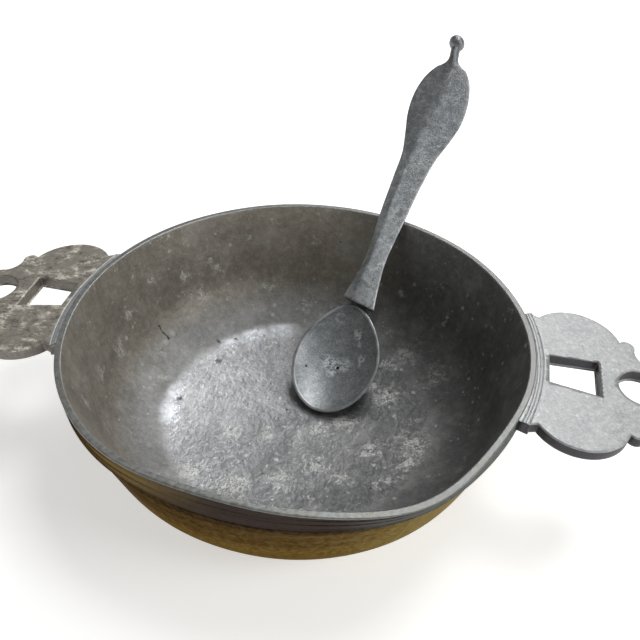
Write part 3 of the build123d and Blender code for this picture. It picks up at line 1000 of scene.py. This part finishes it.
def ear_mesh(name, ear, rim_radius):
    """Plate with rounded edges: an edge profile carried round each outline, and two triangulated faces."""
    hole_radius = MOUNTS["right_hanging_hole"]["dims"]["r_mm"] * MM
    outlines = (
        ear_outline(ear, rim_radius, EAR_EDGE_SPACING),
        keystone_outline(ear, EAR_EDGE_SPACING),
        arc((ear.ring_along, 0), hole_radius, 0, 360, 84),
    )
    edge_turn = np.radians(np.linspace(90, 0, 5))
    inset = ear.edge * (1 - np.cos(edge_turn))
    depth = ear.edge * (1 - np.sin(edge_turn))
    inset = np.concatenate([inset, inset[::-1]])
    depth = np.concatenate([depth, ear.thickness - depth[::-1]])
    points, blocks, rims = [], [], []
    count = 0
    for place, outline in enumerate(outlines):
        normals = outward_normals(outline, place == 0)
        flat = outline[None] - inset[:, None, None] * normals[None]
        points.append(ear_points(flat, depth[:, None], ear).reshape(-1, 3))
        blocks.append(grid_quads(len(depth), len(outline), count))
        count += len(points[-1])
        rims.append(flat[0])
    flat, triangles = plate_face(rims, EAR_FACE_SPACING)
    for level in (0.0, ear.thickness):
        points.append(ear_points(flat, np.full(len(flat), level), ear))
        blocks.append(triangles + count)
        count += len(flat)
    mesh = make_mesh(name, np.concatenate(points), *blocks)
    side_rows = [np.repeat(np.diff(depth) > ear.edge, len(outline)) for outline in outlines]
    underside = np.repeat([False, True], len(triangles))
    mesh.polygons.foreach_set("material_index", np.concatenate([*side_rows, underside]).astype(np.int32))
    face_outwards(mesh)
    return mesh


def ear_frame(side, ear):
    """Frame of an ear from its hanging hole: X outwards along the plate, Z up from it, origin at the rim."""
    mount = MOUNTS[f"{side}_hanging_hole"]
    hole, up = Vector(mount["pos_m"]), Vector(mount["axis"]).normalized()
    outward = Vector((hole.x, hole.y, 0))
    outward = (outward - outward.dot(up) * up).normalized()
    across = up.cross(outward)
    turn = Matrix((outward, across, up)).transposed().to_4x4()
    return Matrix.Translation(hole + up * ear.thickness / 2 - outward * ear.ring_along) @ turn


class PORRINGER_OT_ears(bpy.types.Operator):
    """Two cast ears, each a pierced plate with rounded edges"""

    bl_idname = "porringer.ears"
    bl_label = "Ears"

    def execute(self, context):
        ear = context.scene.porringer_ear
        finish = context.scene.porringer_finish
        rim_radius = context.scene.porringer_bowl.rim_radius
        # the right ear's sides are darkened as painted shade, the left ear's kept lighter as painted light
        finishes = {
            "right": (
                ear_pewter(finish), ear_side_pewter("pewter_right_ear_side", finish.ear_side),
            ),
            "left": (
                stained_ear_pewter(finish), ear_side_pewter("pewter_left_ear_side", finish.lit_side),
            ),
        }
        for side, materials in finishes.items():
            mesh = ear_mesh(f"{side}_ear_pewter", ear, rim_radius)
            mesh.transform(ear_frame(side, ear))
            add_piece(mesh, "porringer", "ear_pewter", materials, f"{side}_ear")
        return {"FINISHED"}


SEAM_DIP = 0.15 * MM  # how far a seam lies below the rim and the ear
SEAM_CROWN = 0.3 * MM  # height of the crown, over the product of the shares to its two sides
SEAM_GROOVES = (0.04, 0.5, 1)  # places of the grooves as shares of the seam's width
SEAM_GROOVE_CUT = 0.14 * MM
SEAM_GROOVE_WIDTH = 0.16 * MM


def seam_section(ear, rim_radius, rim_level, ear_level, foot):
    """Closed section of a seam for each place along it, as radius and height: a wiped face from the rim to
    the ear, a little crowned, with fine grooves, and a foot that is hidden between the band and the ear."""
    face = np.linspace(-0.75 * ear.seam, 1.25 * ear.seam, 80)[None, :]
    share = np.clip(face / ear.seam, 0, 1)
    grooves = sum(bump_curve(face, place * ear.seam, SEAM_GROOVE_WIDTH) for place in SEAM_GROOVES)
    crown = SEAM_CROWN * share * (1 - share)
    height = rim_level * (1 - share) + ear_level * share + crown - SEAM_GROOVE_CUT * grooves
    radius = rim_radius + face + 0 * height
    corners = radius[:, [-1, 0]]
    return np.concatenate([radius, corners], 1), np.concatenate([height, 0 * corners + foot], 1)


class PORRINGER_OT_seams(bpy.types.Operator):
    """Solder seam at each ear: a wiped strip with three fine grooves, carried along the rim"""

    bl_idname = "porringer.seams"
    bl_label = "Solder seams"

    def execute(self, context):
        ear = context.scene.porringer_ear
        bowl = context.scene.porringer_bowl
        finish = context.scene.porringer_finish
        material = tin_solder(finish)
        # seam ends take the ears' side colours, with the same painted shade and light
        ends = {"right": finish.ear_side, "left": finish.lit_side}
        seam_radius = bowl.rim_radius + ear.seam
        half_turn = math.asin(ear.root_across / seam_radius)
        along = np.linspace(-half_turn, half_turn, 120)[:, None]
        uneven = 0.03 * MM * np.sin(29 * along + 2)
        for side in ("right", "left"):
            plate = ear_frame(side, ear)
            outward = plate.col[0]
            heading = math.atan2(outward.y, outward.x)
            reach = seam_radius * np.cos(along) - bowl.rim_radius
            ear_level = plate.translation.z + outward.z * reach - SEAM_DIP + uneven
            rim_level = bowl.height - SEAM_DIP + uneven
            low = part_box(f"{side}_ear_solder")[0]
            radius, height = seam_section(ear, bowl.rim_radius, rim_level, ear_level, low.z)
            turn = heading + along
            rings = np.stack([radius * np.cos(turn), radius * np.sin(turn), height], -1)
            mesh = closed_surface(f"{side}_ear_solder_strip", rings, (rings[0].mean(0), rings[-1].mean(0)))
            at_end = np.arange(len(mesh.polygons)) >= (len(rings) - 1) * rings.shape[1]
            mesh.polygons.foreach_set("material_index", at_end.astype(np.int32))
            face_outwards(mesh)
            materials = (material, ear_side_pewter(f"tin_{side}_seam_end", ends[side]))
            add_piece(mesh, "porringer", "solder", materials, f"{side}_ear_solder")
        return {"FINISHED"}


# Stations of the stem in millimetres: place from the bowl's lip, half width, height of the ridge
STEM_STATIONS = np.array([
    (-1.2, 7.2, 3.9), (0, 7.0, 4.1), (4, 6.2, 4.7), (8, 5.5, 5.1), (16.5, 4.4, 5.1), (40, 5.4, 5.0),
    (57, 6.1, 4.8), (68, 6.7, 4.5), (77, 8.9, 4.1), (86, 11.2, 3.7), (93, 11.8, 3.4), (100, 11.1, 3.2),
    (106, 9.0, 3.0), (110, 6.2, 3.0), (112.5, 3.6, 3.2), (115, 2.0, 3.4), (118, 1.75, 3.4),
    (120.6, 1.75, 3.4),
]) * MM
STEM_EDGE = 2 * MM  # height of the stem's side edges above its underside
LEFT_EDGE = 3.1 * MM  # height of the left edge by the bowl
TONGUE = 4.5 * MM  # how far the stem's root runs on under the bowl's back
STEM_FLAT = 0.55  # share of the stem's width that is flat underneath
ROOT_LENGTH = 12 * MM  # stretch of the stem by the bowl that is skewed and has a deeper heel
HEEL = 2.6 * MM  # depth of that heel
LEAF_PLACE, LEAF_SPREAD = 78 * MM, 13 * MM  # where the leaf is fuller on its right


def soft_polygon_weights(corners, count, softness):
    """Weights that turn a polygon's corners into points round its outline, with the corners softened by
    averaging each point with its neighbours over a share of the outline."""
    place = np.linspace(0, corners, count, endpoint=False)
    corner = np.arange(corners)
    away = np.abs(place[:, None] - corner[None])
    weights = np.clip(1 - np.minimum(away, corners - away), 0, None)
    reach = max(1, round(softness * count))
    return sum(np.roll(weights, shift, 0) for shift in range(-reach, reach + 1)) / (2 * reach + 1)


def stem_rings(spoon):
    """Rings of the stem, neck and knop: a low tongue under the bowl's back, then a softened five-sided
    section that starts at a square step and turns round towards the neck, and circles along the ball."""
    end = spoon.knop_place + spoon.knop_radius
    place = np.concatenate([
        np.linspace(-TONGUE, spoon.step - 0.05 * MM, 16),
        np.linspace(spoon.step, 118 * MM, 190),
        np.linspace(118.3 * MM, end - 0.02 * MM, 46),
    ])
    tongue = place < spoon.step
    station = np.clip(place, STEM_STATIONS[0, 0], None)
    half = smooth_curve(station, STEM_STATIONS[:, 0], STEM_STATIONS[:, 1])
    ridge = smooth_curve(station, STEM_STATIONS[:, 0], STEM_STATIONS[:, 2])
    under_bowl = np.clip(place, None, 0)
    tongue_top = 0.45 * under_bowl - 1 * MM
    near_root = np.clip(1 - place / ROOT_LENGTH, 0, 1) ** 1.5
    edge = np.where(tongue, tongue_top - 0.2 * MM, STEM_EDGE - 0.4 * MM * near_root)
    left_edge = np.interp(place, (45 * MM, 70 * MM), (LEFT_EDGE, STEM_EDGE)) - 0.4 * MM * near_root
    left_edge = np.where(tongue, edge, left_edge)
    half = np.where(tongue, half - 1.5 * MM + 0.5 * under_bowl, half)
    ridge = np.where(tongue, tongue_top, ridge)
    tongue_drop = np.interp(place, (-TONGUE, -0.5 * TONGUE, 0), (-0.9 * MM, -0.6 * MM, 0))
    underside = -HEEL * near_root + tongue_drop
    half = np.where(tongue, half, half + 0.25 * MM)
    ridge_place = -spoon.ridge_aside * half * np.clip((90 * MM - place) / (30 * MM), 0, 1)
    right = half + spoon.fuller * np.exp(-0.5 * ((place - LEAF_PLACE) / LEAF_SPREAD) ** 2)
    columns = 56
    corners = np.stack([
        np.stack([ridge_place, ridge], -1),
        np.stack([right, edge], -1),
        np.stack([STEM_FLAT * right, underside], -1),
        np.stack([-STEM_FLAT * half, underside], -1),
        np.stack([-half, left_edge], -1),
    ], 1)
    section = np.einsum("vc,pcd->pvd", soft_polygon_weights(5, columns, 0.022), corners)
    ball = np.sqrt(np.clip(spoon.knop_radius**2 - (place - spoon.knop_place) ** 2, 0, None))
    neck = np.where(place < spoon.knop_place, spoon.neck_radius, 0)
    round_radius = np.maximum(ball, neck)
    turn = np.linspace(0, 2 * np.pi, columns, endpoint=False)
    circle = np.stack([np.sin(turn), np.cos(turn)], -1)[None] * round_radius[:, None, None]
    circle = circle + np.array([0, spoon.neck_level])
    roundness = np.clip((place - spoon.neck_start) / (6 * MM), 0, 1)[:, None, None]
    section = section * (1 - roundness) + circle * roundness
    bent = np.clip(place - spoon.neck_start, 0, None)
    along = place - bent * (1 - math.cos(spoon.knop_lean))
    aside = bent * math.sin(spoon.knop_lean)
    across = aside[:, None] - section[..., 0]
    skew = spoon.step_skew * np.clip(1 - place / ROOT_LENGTH, 0, 1)
    return np.stack([along[:, None] + skew[:, None] * across, across, section[..., 1]], -1)


# rows of the spoon's lip, worn pale and painted as a highlight
LIP_ROWS = (39, 46)  # rows of the spoon's hollow that are worn pale


def fig_outline(turn, tip, root, half, drawn_in):
    """Outline of a fig about its widest place: half an ellipse at the tip, and at the root half an ellipse
    that is narrowed by the square of how far along it is."""
    ahead = np.clip(np.cos(turn), 0, None)
    along = np.where(ahead > 0, root, tip) * np.cos(turn)
    return along, half * np.sin(turn) * (1 - drawn_in * ahead**2)


def spoon_bowl_rings(spoon):
    """Rings of the fig-shaped bowl, from the middle of its hollow over the lip to the middle of its back,
    deepened by a power of the distance from its middle."""
    columns = 144
    turn = np.linspace(0, 2 * np.pi, columns, endpoint=False)[None, :]
    root = spoon.bowl_length - spoon.widest
    wall = spoon.bowl_wall
    inner_share = np.linspace(0.02, 1, 40)[:, None]
    outer_share = np.linspace(1, 0.02, 40)[:, None]
    lip_turn = np.radians(np.linspace(180, 0, 7))[1:-1, None]
    inset = np.concatenate([inner_share * 0 + wall, wall / 2 * (1 - np.cos(lip_turn)), outer_share * 0])
    share = np.concatenate([inner_share, lip_turn * 0 + 1, outer_share])
    inner_depth = (spoon.bowl_depth - 1.4 * MM) * (1 - inner_share**2.2) ** 0.92
    outer_depth = spoon.bowl_depth * (1 - outer_share**2.3) ** 0.62
    drop = np.concatenate([inner_depth, -0.15 * wall * np.sin(lip_turn), outer_depth])
    along, across = fig_outline(
        turn, spoon.widest - inset, root - inset, spoon.bowl_width / 2 - inset, spoon.drawn_in
    )
    return np.stack([share * along - root, share * across, -drop + 0 * turn], -1)


class PORRINGER_OT_spoon(bpy.types.Operator):
    """Cast spoon: a fig-shaped bowl and a ridged stem with a leaf end and a ball knop"""

    bl_idname = "porringer.spoon"
    bl_label = "Spoon"

    def execute(self, context):
        spoon = context.scene.porringer_spoon
        stem = stem_rings(spoon)
        root = stem[0].mean(0) + (0.8 * MM, 0, 0)
        stem_mesh = closed_surface("spoon_stem", stem, (root, stem[-1].mean(0)))
        hollow = spoon_bowl_rings(spoon)
        bowl_mesh = closed_surface("spoon_bowl", hollow, (hollow[0].mean(0), hollow[-1].mean(0)))
        moved = Matrix.Translation((-spoon.bowl_back, spoon.bowl_aside, 0))
        turned = moved @ Matrix.Rotation(spoon.bowl_turn, 4, "Z")
        bowl_mesh.transform(Matrix.Rotation(spoon.bowl_bend, 4, "Y") @ turned)
        row = np.arange(len(bowl_mesh.polygons)) // hollow.shape[1]
        lip = (row >= LIP_ROWS[0]) & (row < LIP_ROWS[1])
        bowl_mesh.polygons.foreach_set("material_index", lip.astype(np.int32))
        work = bmesh.new()
        work.from_mesh(stem_mesh)
        work.from_mesh(bowl_mesh)
        mesh = bpy.data.meshes.new("spoon_pewter")
        work.to_mesh(mesh)
        work.free()
        face_outwards(mesh)
        headed = Matrix.Translation(spoon.lip) @ Matrix.Rotation(spoon.azimuth, 4, "Z")
        mesh.transform(headed @ Matrix.Rotation(-spoon.slope, 4, "Y"))
        finish = context.scene.porringer_finish
        add_piece(mesh, "spoon", "spoon_pewter", (spoon_pewter(finish), spoon_lip_pewter(finish)), "spoon")
        return {"FINISHED"}


def direction(azimuth, elevation):
    """Unit vector at an azimuth from +X and an elevation, in degrees."""
    a, e = math.radians(azimuth), math.radians(elevation)
    return Vector((math.cos(a) * math.cos(e), math.sin(a) * math.cos(e), math.sin(e)))


LAMP_AWAY = 1.2  # distance of each lamp from the middle of the base


def add_lamp(name, power, size, heading):
    """Square area lamp that faces the bowl from a heading."""
    lamp = bpy.data.lights.new(name, "AREA")
    lamp.energy = power
    lamp.size = size
    holder = bpy.data.objects.new(name, lamp)
    holder.location = heading * LAMP_AWAY
    holder.rotation_euler = heading.to_track_quat("Z", "Y").to_euler()
    bpy.context.scene.collection.objects.link(holder)


def paper_material(stage):
    """Pale paper: matt, with some light of its own, and more of it far out, so that it reads as white."""
    material, tree, shader = new_material("pale_paper")
    shader.inputs["Base Color"].default_value = opaque(stage.floor)
    shader.inputs["Roughness"].default_value = 0.9
    shader.inputs["Specular IOR Level"].default_value = 0.0
    path = add_node(tree, "LightPath")
    seen = combine(tree, "MAXIMUM", path.outputs["Is Camera Ray"], path.outputs["Is Glossy Ray"])
    seen = combine(tree, "MAXIMUM", seen, path.outputs["Is Transmission Ray"])
    shader.inputs["Emission Color"].default_value = (1, 1, 1, 1)
    away = measure(tree, "LENGTH", object_place(tree))
    own_light = product(tree, seen, between(tree, away, 0.3, 0.9, 0.5, 1.0))
    tree.links.new(own_light, shader.inputs["Emission Strength"])
    return material


def add_world(scene):
    """Sky light: white at the horizon, which is the backdrop of low views, and a softer grey overhead."""
    world = bpy.data.worlds.new("studio")
    world.use_nodes = True
    tree = world.node_tree
    tree.nodes.clear()
    place = add_node(tree, "TexCoord").outputs["Generated"]
    up = add_node(tree, "SeparateXYZ", {"Vector": place}).outputs["Z"]
    strength = between(tree, up, 0.06, 0.3, 1.0, 0.18)
    back = add_node(tree, "Background", {"Color": (1, 1, 1, 1), "Strength": strength})
    add_node(tree, "OutputWorld", {"Surface": back.outputs["Background"]})
    scene.world = world


class PORRINGER_OT_stage(bpy.types.Operator):
    """Pale floor, soft lamps, sky light and the camera"""

    bl_idname = "porringer.stage"
    bl_label = "Stage"

    def execute(self, context):
        scene = context.scene
        stage = scene.porringer_stage
        reach = 4.0
        corners = np.array([(-reach, -reach), (reach, -reach), (reach, reach), (-reach, reach)])
        points = np.column_stack([corners, np.full(4, -0.02 * MM)])
        mesh = make_mesh("paper_floor", points, np.arange(4)[None])
        mesh.materials.append(paper_material(stage))
        floor = bpy.data.objects.new("paper_floor", mesh)
        scene.collection.objects.link(floor)
        add_lamp("back_lamp", stage.back_power, 0.45, direction(77, 46))
        add_lamp("top_lamp", stage.top_power, 0.4, direction(45, 70))
        add_lamp("side_lamp", stage.side_power, 0.45, direction(-10, 35))
        add_world(scene)
        camera = bpy.data.cameras.new("camera")
        camera.lens = stage.lens
        camera.clip_start = 0.01
        holder = bpy.data.objects.new("camera", camera)
        turn = Matrix.Rotation(stage.camera_turn, 4, "Z") @ Matrix.Rotation(stage.camera_tilt, 4, "X")
        aimed = Matrix.Translation(stage.camera) @ turn
        holder.matrix_world = aimed @ Matrix.Rotation(stage.camera_roll, 4, "Z")
        scene.collection.objects.link(holder)
        scene.camera = holder
        scene.view_settings.view_transform = "Standard"
        return {"FINISHED"}


class PORRINGER_PT_panel(bpy.types.Panel):
    """Sidebar panel with one button for each group of pieces"""

    bl_idname = "PORRINGER_PT_panel"
    bl_label = "Porringer"
    bl_space_type = "VIEW_3D"
    bl_region_type = "UI"
    bl_category = "Porringer"

    def draw(self, context):
        for operator in OPERATORS:
            self.layout.operator(operator.bl_idname)
        for name in GROUPS:
            group = getattr(context.scene, name)
            box = self.layout.box()
            for setting in group.bl_rna.properties.keys():
                if setting not in ("rna_type", "name"):
                    box.prop(group, setting)


GROUPS = {
    "porringer_bowl": PorringerBowl,
    "porringer_ear": PorringerEar,
    "porringer_spoon": PorringerSpoon,
    "porringer_finish": PorringerFinish,
    "porringer_stage": PorringerStage,
}
OPERATORS = (
    PORRINGER_OT_bowl, PORRINGER_OT_ears, PORRINGER_OT_seams, PORRINGER_OT_spoon, PORRINGER_OT_stage,
)


def register():
    """Registers the classes and hangs the settings on the scene."""
    for cls in (*GROUPS.values(), *OPERATORS, PORRINGER_PT_panel):
        bpy.utils.register_class(cls)
    for name, group in GROUPS.items():
        setattr(bpy.types.Scene, name, bpy.props.PointerProperty(type=group))


def unregister():
    """Takes the settings and the classes away again."""
    for name in GROUPS:
        delattr(bpy.types.Scene, name)
    for cls in reversed((*GROUPS.values(), *OPERATORS, PORRINGER_PT_panel)):
        bpy.utils.unregister_class(cls)


def main():
    register()
    bpy.ops.porringer.bowl()
    bpy.ops.porringer.ears()
    bpy.ops.porringer.seams()
    bpy.ops.porringer.spoon()
    bpy.ops.porringer.stage()


if __name__ == "__main__":
    main()
